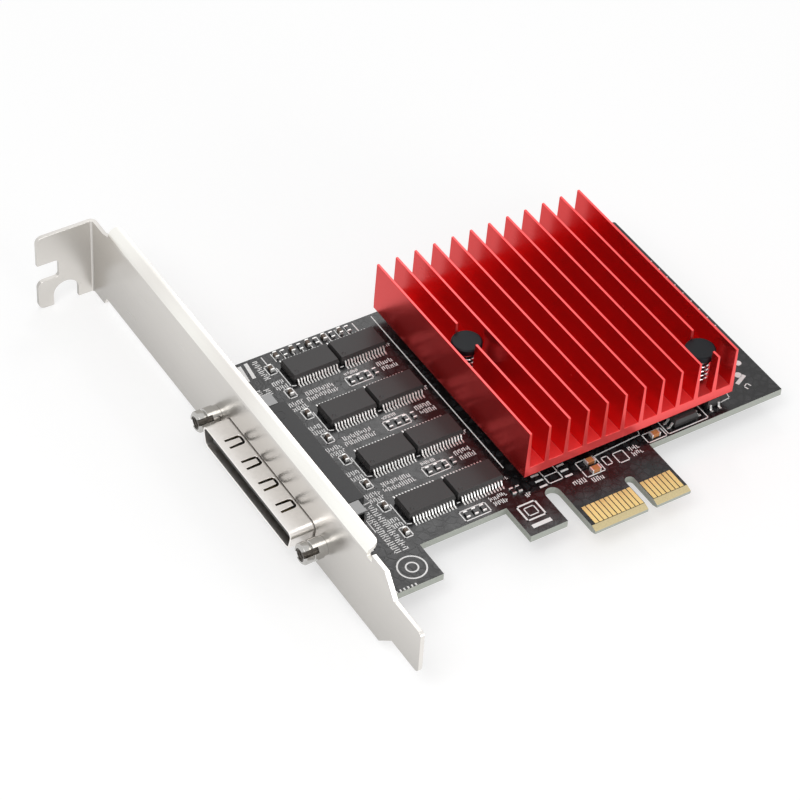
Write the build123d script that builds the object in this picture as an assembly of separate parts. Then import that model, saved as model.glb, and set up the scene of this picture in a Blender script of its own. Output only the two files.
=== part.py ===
from build123d import *
import math
import os

# Serial port expansion card with a full-height bracket, in millimetres.
# The origin is the middle of the key notch, at the lower edge of the contact tongue,
# on the board's component face. +X runs away from the bracket, +Y towards the bracket's
# screw tab, and +Z out of the component face.

# Circuit board
BOARD_T = 1.57
BOARD_TOP = 69.2
BOARD_RIGHT = 39.6
BOARD_EDGE = 13.3
BOARD_SHOULDER = 12.5
BOARD_BEHIND_BRACKET = 1.0
CORNER_R = 0.5
FRONT_TAB_RIGHT = -42.45
TAB_BOTTOM = 4.4
GUIDE_TAB_LEFT = -23.9
GUIDE_SLOT_W = 3.05
GUIDE_SLOT_TOP = 13.0

# Contact tongue, with its pads and key notch
TONGUE_LEFT = -12.75
TONGUE_RIGHT = 8.6
KEY_W = 1.9
KEY_TOP = 8.3
BEVEL_LEN = 1.3
BEVEL_DEPTH = 0.45
PAD_PITCH = 1.0
PAD_W = 0.8
PAD_T = 0.05
PAD_LOW = 1.4
PAD_HIGH = 5.95
PADS_LEFT_OF_KEY = 11
PADS_RIGHT_OF_KEY = 7
KEY_TO_PAD = 1.5

# Bracket, folded from one sheet
SHEET_T = 0.86
BRACKET_FACE = -58.8
BRACKET_TOP = 107.9
BRACKET_TIP = -12.9
BEND_R = 0.5
PLATE_LOW = -4.1
PLATE_HIGH = 14.5
SHOULDER_Z = 14.2
TAB_HIGH = 11.8
TAB_DEPTH = 12.0
EAR_LOW = -6.2
EAR_LEN = 5.3
EAR_SLANT = 1.05
TONGUE_Z_LOW = -0.3
TONGUE_Z_HIGH = 9.7
TONGUE_START = -4.3
LOW_SLANT_START = -0.4
HIGH_SLANT_START = -0.9
TIP_LOW_R = 1.2
TIP_HIGH_R = 0.8
LIP_TOP = 100.5
LIP_BOTTOM = 5.0
LIP_DEPTH = 2.7
LIP_BEND_R = 1.1
LIP_END_R = 1.5
LIP_STEP = 2.1
LIP_RELIEF = 1.6
SCREW_SLOT_W = 4.2
SCREW_SLOT_DEPTH = 4.6
SCREW_SLOT_Z = 2.8
SCREW_SLOT_R = 0.8
ARCH_W = 5.4
ARCH_HEIGHT = 5.1
ARCH_X = 6.0
TAB_CORNER_R = 1.5

# Connector
CONN_Y = 37.95
CONN_Z = 2.35
SHELL_WIDE = 32.4
SHELL_NARROW = 30.6
SHELL_H = 4.6
SHELL_T = 0.4
SHELL_R = 1.3
SHELL_REACH = 4.9
SHELL_CLEARANCE = 0.35
FLANGE_T = 0.8
FLANGE_PAST_POST = 3.45
FLANGE_H = 7.2
FINGER_COUNT = 4
FINGER_PITCH = 6.17
FINGER_SLOT_W = 0.5
FINGER_SLOT_R = 0.8
FINGER_CUT_W = 2.5
FINGER_LEN = 3.3
FINGER_TAPER = 0.15
FINGER_FROM_BRACKET = 0.3
HOUSING_W = 28.4
HOUSING_RIGHT = -47.5
HOUSING_FIT = 0.05
BLADE_T = 1.3
BLADE_W = 27.8
BLADE_SETBACK = 0.9
CONTACT_PITCH = 0.8
CONTACTS_PER_SIDE = 34
CONTACT_W = 0.4
CONTACT_T = 0.12
CONTACT_LEN = 3.6
ARM_W = 3.0
ARM_T = 0.5
ARM_GAP = 0.1
ARM_SETBACK = 1.3
ARM_TAIL_W = 1.2
ARM_TAIL_LEN = 2.7
TAIL_HOLE_FIT = 0.15
JOINT_ROWS = 4
JOINTS_PER_ROW = 17
JOINT_PITCH = 1.6
JOINT_ROW_PITCH = 1.9
JOINT_W = 1.0
JOINT_TIP_W = 0.4
JOINT_H = 1.0

# Jack posts
POST_SPACING = 38.1
POST_R = 2.1
POST_LEN = 4.9
POST_CHAMFER = 0.35
POST_GROOVE_AT = 1.6
POST_GROOVE_W = 0.5
POST_GROOVE_DEPTH = 0.35
POST_SLOT_W = 1.2
POST_SLOT_LEN = 3.0
POST_SLOT_TURN = -52.0
POST_NECK_R = 1.9
POST_NECK_LEN = 0.9
SHANK_R = 1.4
SHANK_FIT = 0.05
THREAD_BORE_R = 1.3
THREAD_BORE_DEPTH = 4.2
INSERT_R = 2.2
INSERT_LEN = 2.5

# Heat sink, its pad and the chip under it
FIN_COUNT = 12
FIN_PITCH = 4.21
FIN_ROOT_T = 1.0
FIN_TIP_T = 0.5
SINK_LEFT = -18.35
SINK_LOW = 15.35
SINK_LEN = 52.8
SINK_BOTTOM = 2.6
SINK_BASE_T = 2.1
SINK_H = 10.9
POCKET_R = 3.3
CONTROLLER_SIZE = 17.0
CONTROLLER_T = 1.6
THERMAL_PAD_SIZE = 15.0

# Push pins and their springs
PIN_FIN_A = 2
PIN_OFF_FIN_A = 0.165
PIN_Y_A = 43.4
PIN_FIN_B = 11
PIN_OFF_FIN_B = -0.375
PIN_Y_B = 20.5
PIN_HEAD_R = 3.0
PIN_HEAD_T = 1.3
PIN_HEAD_EDGE = 0.25
PIN_HEAD_TOP = 11.8
PIN_SHAFT_R = 1.5
PIN_HOLE_FIT = 0.2
PIN_BARB_R = 2.0
PIN_BARB_LEN = 2.5
PIN_BARB_TIP_R = 0.8
PIN_SLIT_W = 0.6
SPRING_R = 2.25
SPRING_WIRE_R = 0.22
SPRING_TURNS = 5
SPRING_STEPS = 8
SPRING_SEAT = 0.08

# Line transceivers in two columns
CHIP_COLUMNS = (-36.15, -25.75)
CHIP_ROW_TOP = 62.0
CHIP_ROW_PITCH = 13.7
CHIP_ROWS = 4
CHIP_L = 10.0
CHIP_W = 5.3
CHIP_STANDOFF = 0.1
CHIP_LOWER_T = 0.95
CHIP_UPPER_T = 0.8
CHIP_DRAFT = 16.0
LEAD_COUNT = 14
LEAD_PITCH = 0.65
LEAD_W = 0.3
LEAD_T = 0.15
LEAD_SPAN = 7.8
LEAD_FOOT = 0.7
LEAD_REACH = 0.3

# Small memory chip and voltage regulator at the heat sink's front edge
MEMORY_X = 17.8
MEMORY_Y = 17.0
MEMORY_SIZE = 5.3
MEMORY_LEAD_COUNT = 4
MEMORY_PITCH = 1.27
MEMORY_LEAD_W = 0.42
REGULATOR_X = 25.1
REGULATOR_Y = 16.4
REGULATOR_L = 3.0
REGULATOR_W = 1.6
REGULATOR_PITCH = 1.9
REGULATOR_LEAD_W = 0.45

# Chip capacitors and resistors
CAP_L = 1.6
CAP_W = 0.8
CAP_T = 0.8
RES_T = 0.45
END_L = 0.32
BODY_INSET = 0.04
SIDE_CAP_X = -43.05
SIDE_CAP_UP = 2.8
SIDE_CAP_DOWN = -4.6
GROUP_LEFT = -31.2
GROUP_PITCH = 1.75
GROUP_COUNT = 4
GROUP_DROP = -7.2
LAST_GROUP_DROP = -6.4
TOP_ROW_LEFT = -40.4
TOP_ROW_PITCH = 1.77
TOP_ROW_COUNT = 10
TOP_ROW_FROM_EDGE = 1.7
CORNER_GROUP_X = -20.6
CORNER_GROUP_Y = 15.4
CORNER_GROUP_PITCH = 1.3
CORNER_GROUP_COUNT = 2
BIG_CAP_L = 2.0
BIG_CAP_W = 1.25
BIG_CAP_T = 0.9
BIG_CAP_PLACES = ((-4.0, 14.8), (-4.2, 12.6), (10.8, 14.8))

# Places worked out from the sizes above
SHEET_BACK = BRACKET_FACE + SHEET_T
BEND_OUT = BEND_R + SHEET_T
LIP_BEND_OUT = LIP_BEND_R + SHEET_T
LIP_ROOT_Z = PLATE_HIGH - LIP_BEND_OUT
BOARD_LEFT = SHEET_BACK + BOARD_BEHIND_BRACKET
FLANGE_BACK = SHEET_BACK + FLANGE_T
FLANGE_LEN = POST_SPACING + 2 * FLANGE_PAST_POST
SINK_W = FIN_PITCH * (FIN_COUNT - 1) + FIN_ROOT_T
SINK_RIGHT = SINK_LEFT + SINK_W
BASE_TOP = SINK_BOTTOM + SINK_BASE_T
SINK_TOP = SINK_BOTTOM + SINK_H
LEAD_Z = CHIP_STANDOFF + CHIP_LOWER_T - LEAD_T


def block(x0, x1, y0, y1, z0, z1):
    """Box between three pairs of limits."""
    centre = Pos((x0 + x1) / 2, (y0 + y1) / 2, (z0 + z1) / 2)
    return centre * Box(x1 - x0, y1 - y0, z1 - z0)


def drum(x, y, z0, z1, radius):
    """Upright cylinder between two heights."""
    return Pos(x, y, (z0 + z1) / 2) * Cylinder(radius, z1 - z0)


def rod(x0, x1, y, z, radius):
    """Cylinder along X between two places."""
    return Pos((x0 + x1) / 2, y, z) * Rot(0, 90, 0) * Cylinder(radius, x1 - x0)


def fin_x(number):
    """Middle of a fin, counted from 1 at the bracket's side."""
    return SINK_LEFT + FIN_ROOT_T / 2 + FIN_PITCH * (number - 1)


PIN_X_A = fin_x(PIN_FIN_A) + PIN_OFF_FIN_A
PIN_X_B = fin_x(PIN_FIN_B) + PIN_OFF_FIN_B
PIN_PLACES = ((PIN_X_A, PIN_Y_A), (PIN_X_B, PIN_Y_B))
ARM_REAR = HOUSING_RIGHT - ARM_SETBACK
ARM_TOP = CONN_Z + SHELL_H / 2 - ARM_T
ARM_OFFSET = HOUSING_W / 2 + ARM_GAP + ARM_W / 2


# Circuit board
def board_outline():
    """Board with its two front tabs, the contact tongue and the rounded slots."""
    body = block(BOARD_LEFT, BOARD_RIGHT, BOARD_SHOULDER, BOARD_TOP, -BOARD_T, 0)
    body -= block(TONGUE_RIGHT, BOARD_RIGHT, BOARD_SHOULDER, BOARD_EDGE, -BOARD_T, 0)
    body += block(BOARD_LEFT, FRONT_TAB_RIGHT, TAB_BOTTOM, BOARD_SHOULDER, -BOARD_T, 0)
    body += block(GUIDE_TAB_LEFT, TONGUE_LEFT, TAB_BOTTOM, BOARD_SHOULDER, -BOARD_T, 0)
    body += block(TONGUE_LEFT, TONGUE_RIGHT, 0, BOARD_SHOULDER, -BOARD_T, 0)
    return body


def round_ended_slot(x, width, y_low, y_high):
    """Slot through the board, open below and round at its upper end."""
    centre_y = y_high - width / 2
    straight = block(x - width / 2, x + width / 2, y_low, centre_y, -BOARD_T, 0)
    return straight + drum(x, centre_y, -BOARD_T, 0, width / 2)


def tongue_bevel(sign):
    """Wedge off the tongue's lower edge, at one face."""
    outer = 0 if sign > 0 else -BOARD_T
    profile = make_face(Polyline(
        (0, outer),
        (BEVEL_LEN, outer),
        (0, outer - sign * BEVEL_DEPTH),
        close=True,
    ))
    wedge = extrude(Plane.YZ * profile, TONGUE_RIGHT - TONGUE_LEFT)
    return Pos(TONGUE_LEFT, 0, 0) * wedge


def circuit_board():
    """Bare board with every slot, bevel and hole."""
    body = board_outline()
    body = fillet(body.edges().filter_by(Axis.Z).group_by(Axis.Y)[-1], CORNER_R)
    guide_x = TONGUE_LEFT - GUIDE_SLOT_W / 2
    body -= round_ended_slot(guide_x, GUIDE_SLOT_W, TAB_BOTTOM, GUIDE_SLOT_TOP)
    body -= round_ended_slot(0, KEY_W, 0, KEY_TOP)
    body -= tongue_bevel(1)
    body -= tongue_bevel(-1)
    for x, y in PIN_PLACES:
        body -= drum(x, y, -BOARD_T, 0, PIN_SHAFT_R + PIN_HOLE_FIT)
    for side in (-1, 1):
        x = ARM_REAR - ARM_T / 2
        y = CONN_Y + side * ARM_OFFSET
        body -= drum(x, y, -BOARD_T, 0, math.hypot(ARM_TAIL_W, ARM_T) / 2 + TAIL_HOLE_FIT)
    return body


def pad_places():
    """Middle of every contact pad along X."""
    left = [-KEY_TO_PAD - PAD_PITCH * n for n in range(PADS_LEFT_OF_KEY)]
    right = [KEY_TO_PAD + PAD_PITCH * n for n in range(PADS_RIGHT_OF_KEY)]
    return left + right


def contact_pads(z_low):
    """Row of plated pads on one face of the tongue."""
    half = PAD_W / 2
    return [block(x - half, x + half, PAD_LOW, PAD_HIGH, z_low, z_low + PAD_T) for x in pad_places()]


# Bracket
def bracket_outline():
    """Flat plate with the ear, the step to the tongue and the slanted shoulders."""
    plate_top = BRACKET_TOP - BEND_OUT
    ear_end = BRACKET_TOP - EAR_LEN
    face = make_face(Polyline(
        (plate_top, EAR_LOW),
        (ear_end, EAR_LOW),
        (ear_end - EAR_SLANT, PLATE_LOW),
        (LOW_SLANT_START, PLATE_LOW),
        (TONGUE_START, TONGUE_Z_LOW),
        (BRACKET_TIP, TONGUE_Z_LOW),
        (BRACKET_TIP, TONGUE_Z_HIGH),
        (TONGUE_START, TONGUE_Z_HIGH),
        (HIGH_SLANT_START, SHOULDER_Z),
        (LIP_BOTTOM - LIP_RELIEF, SHOULDER_Z),
        (LIP_BOTTOM - LIP_RELIEF, LIP_ROOT_Z),
        (LIP_TOP, LIP_ROOT_Z),
        (LIP_TOP + LIP_STEP, TAB_HIGH),
        (plate_top, TAB_HIGH),
        close=True,
    ))
    rounded = (
        (BRACKET_TIP, TONGUE_Z_LOW, TIP_LOW_R),
        (BRACKET_TIP, TONGUE_Z_HIGH, TIP_HIGH_R),
        (ear_end, EAR_LOW, BEND_R),
    )
    for y, z, radius in rounded:
        corner = face.vertices().sort_by_distance((y, z, 0))[0]
        face = fillet(corner, radius)
    return face


def quarter_bend(inner_r, length):
    """Quarter of a tube, in the XY plane's first quadrant, drawn out along Z."""
    ring = Circle(inner_r + SHEET_T) - Circle(inner_r)
    side = inner_r + 2 * SHEET_T
    quadrant = Pos(side / 2, side / 2) * Rectangle(side, side)
    return extrude(ring & quadrant, length)


def screw_tab():
    """Tab at the bracket's top, with the screw slot and the arched cut."""
    outer = BRACKET_FACE - TAB_DEPTH
    inner = SHEET_BACK - BEND_OUT
    low = BRACKET_TOP - SHEET_T
    sheet = block(outer, inner, low, BRACKET_TOP, EAR_LOW, TAB_HIGH)
    slot = block(
        outer - SCREW_SLOT_DEPTH, outer + SCREW_SLOT_DEPTH, low, BRACKET_TOP,
        SCREW_SLOT_Z - SCREW_SLOT_W / 2, SCREW_SLOT_Z + SCREW_SLOT_W / 2,
    )
    sheet -= fillet(slot.edges().filter_by(Axis.Y).group_by(Axis.X)[-1], SCREW_SLOT_R)
    corners = sheet.edges().filter_by(Axis.Y).group_by(Axis.X)[0].sort_by(Axis.Z)
    low_prong = corners[:2]
    high_corner = corners[-1:]
    sheet = fillet(low_prong + high_corner, TAB_CORNER_R)
    arch_x = BRACKET_FACE - ARCH_X
    round_z = EAR_LOW + ARCH_HEIGHT - ARCH_W / 2
    arch = block(arch_x - ARCH_W / 2, arch_x + ARCH_W / 2, low, BRACKET_TOP, EAR_LOW, round_z)
    middle = Pos(arch_x, (low + BRACKET_TOP) / 2, round_z)
    arch += middle * Rot(90, 0, 0) * Cylinder(ARCH_W / 2, SHEET_T)
    return sheet - arch


def stiffening_lip():
    """Flange folded back along the plate's component side, with rounded ends."""
    root = BRACKET_FACE + LIP_BEND_OUT
    end = BRACKET_FACE + LIP_DEPTH
    flat = block(root, end, LIP_BOTTOM, LIP_TOP, PLATE_HIGH - SHEET_T, PLATE_HIGH)
    bend = Rot(90, 0, 0) * Rot(0, 0, 90) * quarter_bend(LIP_BEND_R, LIP_TOP - LIP_BOTTOM)
    lip = flat + Pos(root, LIP_TOP, LIP_ROOT_Z) * bend
    blank = block(BRACKET_FACE, end, LIP_BOTTOM, LIP_TOP, LIP_ROOT_Z, PLATE_HIGH)
    corners = blank.edges().filter_by(Axis.Z).group_by(Axis.X)[-1]
    return lip & fillet(corners, LIP_END_R)


def tab_bend():
    """Fold between the plate and the screw tab."""
    bend = quarter_bend(BEND_R, TAB_HIGH - EAR_LOW)
    return Pos(SHEET_BACK - BEND_OUT, BRACKET_TOP - BEND_OUT, EAR_LOW) * bend


def shell_profile(grow):
    """Connector's rounded outline, wide side up, grown by an offset."""
    top = SHELL_H / 2 + grow
    wide = SHELL_WIDE / 2 + grow
    narrow = SHELL_NARROW / 2 + grow
    face = make_face(Polyline(
        (CONN_Y - wide, CONN_Z + top),
        (CONN_Y + wide, CONN_Z + top),
        (CONN_Y + narrow, CONN_Z - top),
        (CONN_Y - narrow, CONN_Z - top),
        close=True,
    ))
    return fillet(face.vertices(), SHELL_R + grow)


def along_x(face, x0, x1):
    """Draw a face given in Y and Z out along X."""
    return Pos(x0, 0, 0) * extrude(Plane.YZ * face, x1 - x0)


def bracket():
    """Whole bracket, with its connector opening and the holes for the jack posts."""
    plate = along_x(bracket_outline(), BRACKET_FACE, SHEET_BACK)
    plate += stiffening_lip()
    plate += tab_bend()
    plate += screw_tab()
    plate -= along_x(shell_profile(SHELL_CLEARANCE), BRACKET_FACE, SHEET_BACK)
    for side in (-1, 1):
        y = CONN_Y + side * POST_SPACING / 2
        plate -= rod(BRACKET_FACE, SHEET_BACK, y, CONN_Z, SHANK_R + SHANK_FIT)
    return plate


# Connector
def finger_slot(y):
    """U-shaped cut that frees one tapering spring finger of the shell's upper wall."""
    x1 = BRACKET_FACE - FINGER_FROM_BRACKET
    x0 = x1 - FINGER_LEN
    tip_x = x1 - FINGER_SLOT_W
    half = FINGER_CUT_W / 2
    root = half - FINGER_SLOT_W
    tip = root - FINGER_TAPER
    cut = make_face(Polyline((x0, -half), (x1, -half), (x1, half), (x0, half), close=True))
    cut = fillet(cut.vertices().group_by(Axis.X)[-1], FINGER_SLOT_R)
    cut -= make_face(Polyline((x0, -root), (tip_x, -tip), (tip_x, tip), (x0, root), close=True))
    return Pos(0, y, CONN_Z + SHELL_H / 2 - SHELL_T) * extrude(cut, SHELL_T)


def board_lock_arm(side):
    """Strap from the flange over the housing's end, down through the board."""
    y = CONN_Y + side * ARM_OFFSET
    y0 = y - ARM_W / 2
    y1 = y + ARM_W / 2
    top = block(FLANGE_BACK, ARM_REAR, y0, y1, ARM_TOP, ARM_TOP + ARM_T)
    leg = block(ARM_REAR - ARM_T, ARM_REAR, y0, y1, 0, ARM_TOP)
    half = ARM_TAIL_W / 2
    tail = block(ARM_REAR - ARM_T, ARM_REAR, y - half, y + half, -ARM_TAIL_LEN, 0)
    return top + leg + tail


def connector_shell():
    """Metal shell with spring fingers, flange, board locks and clinched inserts."""
    front = BRACKET_FACE - SHELL_REACH
    wall = shell_profile(0) - shell_profile(-SHELL_T)
    shell = along_x(wall, front, SHEET_BACK)
    flange = block(
        SHEET_BACK, FLANGE_BACK,
        CONN_Y - FLANGE_LEN / 2, CONN_Y + FLANGE_LEN / 2,
        CONN_Z - FLANGE_H / 2, CONN_Z + FLANGE_H / 2,
    )
    shell += flange - along_x(shell_profile(-SHELL_T), SHEET_BACK, FLANGE_BACK)
    first = CONN_Y - FINGER_PITCH * (FINGER_COUNT - 1) / 2
    for n in range(FINGER_COUNT):
        shell -= finger_slot(first + n * FINGER_PITCH)
    for side in (-1, 1):
        y = CONN_Y + side * POST_SPACING / 2
        shell += board_lock_arm(side)
        shell += rod(FLANGE_BACK, FLANGE_BACK + INSERT_LEN, y, CONN_Z, INSERT_R)
        shell -= rod(SHEET_BACK, FLANGE_BACK + INSERT_LEN, y, CONN_Z, SHANK_R + SHANK_FIT)
    return shell


def connector_housing():
    """Moulded insulator: neck in the shell, blade in the mouth and block on the board."""
    blade_front = BRACKET_FACE - SHELL_REACH + BLADE_SETBACK
    half = HOUSING_W / 2
    rear = block(FLANGE_BACK, HOUSING_RIGHT, CONN_Y - half, CONN_Y + half, 0, CONN_Z + SHELL_H / 2)
    neck = along_x(shell_profile(-SHELL_T - HOUSING_FIT), BRACKET_FACE, FLANGE_BACK)
    blade = block(
        blade_front, BRACKET_FACE,
        CONN_Y - BLADE_W / 2, CONN_Y + BLADE_W / 2,
        CONN_Z - BLADE_T / 2, CONN_Z + BLADE_T / 2,
    )
    return rear + neck + blade


def connector_contacts():
    """Flat contacts along both faces of the blade."""
    first = CONN_Y - CONTACT_PITCH * (CONTACTS_PER_SIDE - 1) / 2
    x1 = BRACKET_FACE
    x0 = x1 - CONTACT_LEN
    lower = CONN_Z - BLADE_T / 2 - CONTACT_T
    upper = CONN_Z + BLADE_T / 2
    places = [(first + n * CONTACT_PITCH, z) for n in range(CONTACTS_PER_SIDE) for z in (lower, upper)]
    half = CONTACT_W / 2
    return [block(x0, x1, y - half, y + half, z, z + CONTACT_T) for y, z in places]


def solder_joint(x, y):
    """Tapered joint round a pin's end under the board."""
    slope = math.degrees(math.atan((JOINT_W - JOINT_TIP_W) / 2 / JOINT_H))
    joint = extrude(Rectangle(JOINT_W, JOINT_W), JOINT_H, taper=slope)
    return Pos(x, y, -BOARD_T) * Rot(180, 0, 0) * joint


def connector_joints():
    """Staggered rows of joints below the connector."""
    first_x = HOUSING_RIGHT - JOINT_ROW_PITCH * JOINT_ROWS
    first_y = CONN_Y - JOINT_PITCH * (JOINTS_PER_ROW - 0.5) / 2
    joints = []
    for row in range(JOINT_ROWS):
        shift = (row % 2) * JOINT_PITCH / 2
        for n in range(JOINTS_PER_ROW):
            joints.append(solder_joint(first_x + row * JOINT_ROW_PITCH, first_y + shift + n * JOINT_PITCH))
    return joints


def jack_post(side):
    """Turned post with a groove, a slotted end, a threaded bore and a shank through the bracket."""
    end = POST_LEN
    groove = end - POST_GROOVE_AT
    profile = make_face(Polyline(
        (0, -SHEET_T - FLANGE_T - INSERT_LEN),
        (SHANK_R, -SHEET_T - FLANGE_T - INSERT_LEN),
        (SHANK_R, 0),
        (POST_NECK_R, 0),
        (POST_NECK_R, POST_NECK_LEN),
        (POST_R, POST_NECK_LEN),
        (POST_R, groove - POST_GROOVE_W),
        (POST_R - POST_GROOVE_DEPTH, groove - POST_GROOVE_W / 2),
        (POST_R, groove),
        (POST_R, end - POST_CHAMFER),
        (POST_R - POST_CHAMFER, end),
        (THREAD_BORE_R, end),
        (THREAD_BORE_R, end - THREAD_BORE_DEPTH),
        (0, end - THREAD_BORE_DEPTH),
        close=True,
    ))
    turned = revolve(Plane.XZ * profile, Axis.Z)
    half = POST_SLOT_W / 2
    slot = block(-POST_R, POST_R, -half, half, end - POST_SLOT_LEN, end)
    turned -= Rot(0, 0, POST_SLOT_TURN) * slot
    y = CONN_Y + side * POST_SPACING / 2
    return Pos(BRACKET_FACE, y, CONN_Z) * Rot(0, -90, 0) * turned


# Heat sink
def fin_section():
    """Extruded section: a base with evenly spaced fins that taper to their tips."""
    root = FIN_ROOT_T / 2
    tip = FIN_TIP_T / 2
    fin = make_face(Polyline(
        (-root, BASE_TOP),
        (root, BASE_TOP),
        (tip, SINK_TOP),
        (-tip, SINK_TOP),
        close=True,
    ))
    section = Pos(SINK_LEFT + SINK_W / 2, SINK_BOTTOM + SINK_BASE_T / 2) * Rectangle(SINK_W, SINK_BASE_T)
    for number in range(1, FIN_COUNT + 1):
        section += Pos(fin_x(number), 0) * fin
    return section


def heatsink():
    """Finned heat sink with pockets and holes for the two push pins."""
    body = extrude(Plane.XZ * fin_section(), -SINK_LEN)
    body = Pos(0, SINK_LOW, 0) * body
    for x, y in PIN_PLACES:
        body -= drum(x, y, BASE_TOP, SINK_TOP, POCKET_R)
        body -= drum(x, y, SINK_BOTTOM, BASE_TOP, PIN_SHAFT_R + PIN_HOLE_FIT)
    return body


def under_sink(size, z0, z1):
    """Square piece below the middle of the heat sink."""
    x = (SINK_LEFT + SINK_RIGHT) / 2
    y = SINK_LOW + SINK_LEN / 2
    return block(x - size / 2, x + size / 2, y - size / 2, y + size / 2, z0, z1)


def push_pin(place):
    """Push pin with a flat head, a shaft inside the spring and a split barb."""
    head_low = PIN_HEAD_TOP - PIN_HEAD_T
    tip = -BOARD_T - PIN_BARB_LEN
    profile = make_face(Polyline(
        (0, PIN_HEAD_TOP),
        (PIN_HEAD_R - PIN_HEAD_EDGE, PIN_HEAD_TOP),
        (PIN_HEAD_R, PIN_HEAD_TOP - PIN_HEAD_EDGE),
        (PIN_HEAD_R, head_low),
        (PIN_SHAFT_R, head_low),
        (PIN_SHAFT_R, -BOARD_T),
        (PIN_BARB_R, -BOARD_T),
        (PIN_BARB_TIP_R, tip),
        (0, tip),
        close=True,
    ))
    pin = revolve(Plane.XZ * profile, Axis.Z)
    pin -= block(-PIN_SLIT_W / 2, PIN_SLIT_W / 2, -PIN_BARB_R, PIN_BARB_R, tip, -BOARD_T)
    return Pos(*place, 0) * pin


def coil_spring(place):
    """Compression spring between the heat sink's base and the pin's head."""
    low = BASE_TOP + SPRING_WIRE_R + SPRING_SEAT
    high = PIN_HEAD_TOP - PIN_HEAD_T - SPRING_WIRE_R - SPRING_SEAT
    steps = SPRING_TURNS * SPRING_STEPS
    points = []
    for n in range(steps + 1):
        angle = 2 * math.pi * n / SPRING_STEPS
        points.append((SPRING_R * math.cos(angle), SPRING_R * math.sin(angle), low + (high - low) * n / steps))
    path = Polyline(*points)
    wire = Rectangle(2 * SPRING_WIRE_R, 2 * SPRING_WIRE_R)
    start = Plane(origin=path @ 0, z_dir=path % 0, x_dir=(0, 0, 1))
    return Pos(*place, 0) * sweep(start * wire, path, transition=Transition.RIGHT)


# Chips with gull-wing leads
def chip_body(length, width):
    """Moulded body with drafted upper sides, standing clear of the board."""
    lower = block(
        -length / 2, length / 2, -width / 2, width / 2,
        CHIP_STANDOFF, CHIP_STANDOFF + CHIP_LOWER_T,
    )
    parting = Pos(0, 0, CHIP_STANDOFF + CHIP_LOWER_T) * Rectangle(length, width)
    return lower + extrude(parting, CHIP_UPPER_T, taper=CHIP_DRAFT)


def gull_wing(x, side, body_w, span, width):
    """One lead: out of the body, down and along the board in a foot."""
    root = body_w / 2
    toe = span / 2
    heel = toe - LEAD_FOOT
    profile = make_face(Polyline(
        (root, LEAD_Z + LEAD_T),
        (root + LEAD_REACH, LEAD_Z + LEAD_T),
        (heel + LEAD_T, LEAD_T),
        (toe, LEAD_T),
        (toe, 0),
        (heel, 0),
        (root, LEAD_Z),
        close=True,
    ))
    lead = Pos(-width / 2, 0, 0) * extrude(Plane.YZ * profile, width)
    if side < 0:
        lead = lead.mirror(Plane.XZ)
    return Pos(x, 0, 0) * lead


def lead_rows(count, pitch, body_w, span, width):
    """Leads along both long sides of a chip."""
    first = -pitch * (count - 1) / 2
    places = [(first + n * pitch, side) for side in (-1, 1) for n in range(count)]
    return [gull_wing(x, side, body_w, span, width) for x, side in places]


def transceiver_places():
    """Middles of the eight transceivers, row by row from the top."""
    rows = [CHIP_ROW_TOP - CHIP_ROW_PITCH * n for n in range(CHIP_ROWS)]
    return [(x, y) for y in rows for x in CHIP_COLUMNS]


# Small two-ended parts
def chip_part(x, y, along_y, length, width, height):
    """Body and the two plated ends of a chip capacitor or resistor."""
    turn = Pos(x, y, 0) * Rot(0, 0, 90 if along_y else 0)
    half = length / 2
    side = width / 2
    inner = side - BODY_INSET
    body = block(-half + END_L, half - END_L, -inner, inner, BODY_INSET, height - BODY_INSET)
    left = block(-half, -half + END_L, -side, side, 0, height)
    right = block(half - END_L, half, -side, side, 0, height)
    return turn * body, [turn * left, turn * right]


def capacitor_places():
    """Chip capacitors beside each row and along the board's top edge."""
    places = []
    for row in range(CHIP_ROWS):
        y = CHIP_ROW_TOP - CHIP_ROW_PITCH * row
        places.append((SIDE_CAP_X, y + SIDE_CAP_UP))
        places.append((SIDE_CAP_X, y + SIDE_CAP_DOWN))
    for n in range(TOP_ROW_COUNT // 2):
        places.append((TOP_ROW_LEFT + 2 * n * TOP_ROW_PITCH, BOARD_TOP - TOP_ROW_FROM_EDGE))
    return places


def resistor_places():
    """Chip resistors below the right-hand chips, along the top edge and at the corner."""
    places = []
    for row in range(CHIP_ROWS):
        last = row == CHIP_ROWS - 1
        y = CHIP_ROW_TOP - CHIP_ROW_PITCH * row + (LAST_GROUP_DROP if last else GROUP_DROP)
        for n in range(GROUP_COUNT - last):
            places.append((GROUP_LEFT + n * GROUP_PITCH, y))
    for n in range(TOP_ROW_COUNT // 2):
        places.append((TOP_ROW_LEFT + (2 * n + 1) * TOP_ROW_PITCH, BOARD_TOP - TOP_ROW_FROM_EDGE))
    for n in range(CORNER_GROUP_COUNT):
        places.append((CORNER_GROUP_X + n * CORNER_GROUP_PITCH, CORNER_GROUP_Y))
    return places


def small_parts(places, along_y, length, width, height):
    """Bodies and plated ends of like parts, as two groups."""
    bodies = []
    ends = []
    for x, y in places:
        body, pair = chip_part(x, y, along_y, length, width, height)
        bodies.append(body)
        ends += pair
    return bodies, ends


def regulator_leads():
    """Two leads on the near side of the regulator and one on the far side."""
    half = REGULATOR_PITCH / 2
    span = REGULATOR_W + 2 * (LEAD_REACH + LEAD_FOOT)
    spots = ((-half, -1), (half, -1), (0, 1))
    return [gull_wing(x, side, REGULATOR_W, span, REGULATOR_LEAD_W) for x, side in spots]


# Export
def save(name, solids):
    """Write one node, a solid or a group of like solids, as a STEP file."""
    group = Compound(children=solids) if isinstance(solids, list) else solids
    export_step(group, os.path.join("parts", name + ".step"))


def save_board():
    save("circuit_board", circuit_board())
    save("edge_contacts_component_side", contact_pads(0))
    save("edge_contacts_solder_side", contact_pads(-BOARD_T - PAD_T))


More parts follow.
